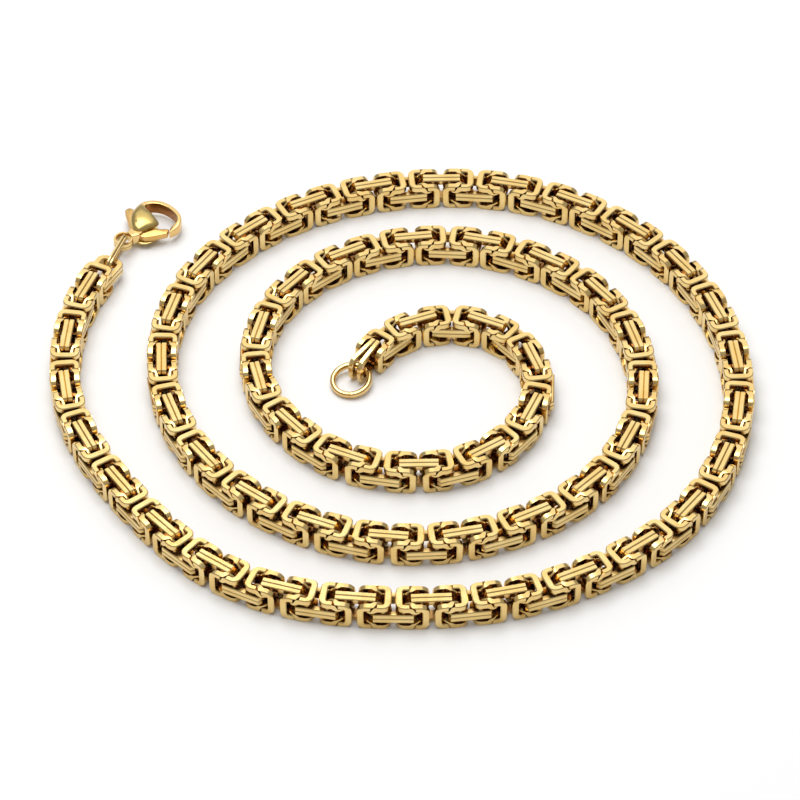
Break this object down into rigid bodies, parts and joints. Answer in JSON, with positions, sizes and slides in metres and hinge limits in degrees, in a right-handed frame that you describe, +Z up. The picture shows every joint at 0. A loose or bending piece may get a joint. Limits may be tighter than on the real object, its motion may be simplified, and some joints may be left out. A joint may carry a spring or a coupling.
{
  "type": "chain necklace",
  "caption": "Square link chain necklace, unclasped and laid flat in a spiral, with a sprung lobster clasp at one end and a ring at the other.",
  "frame": {"origin": "middle of the spiral's outline, on the floor that it lies on", "axes": "+X to the right and +Y away in the picture's view, +Z up; the chain lies flat"},
  "size_m": [0.1184, 0.1032, 0.005],
  "materials": {
    "chain_gold": "polished, gold-coloured",
    "findings_gold": "mirror-polished, pale gold-coloured"
  },
  "bodies": {
    "necklace": {"chain_outer": "chain_gold", "chain_inner": "chain_gold", "clasp_body": "findings_gold", "clasp_pin": "findings_gold", "jump_ring": "findings_gold", "end_ring": "findings_gold"},
    "lever": {"clasp_lever": "findings_gold"}
  },
  "joints": [
    {"name": "lever_hinge", "type": "hinge", "parent": "necklace", "child": "lever", "pos_m": [-0.04584, 0.03901, 0.0021], "axis": [0, 0, 1], "range_deg": [0, 25], "stiffness_Nm_per_rad": 0.006, "springref_deg": -17.19}
  ]
}
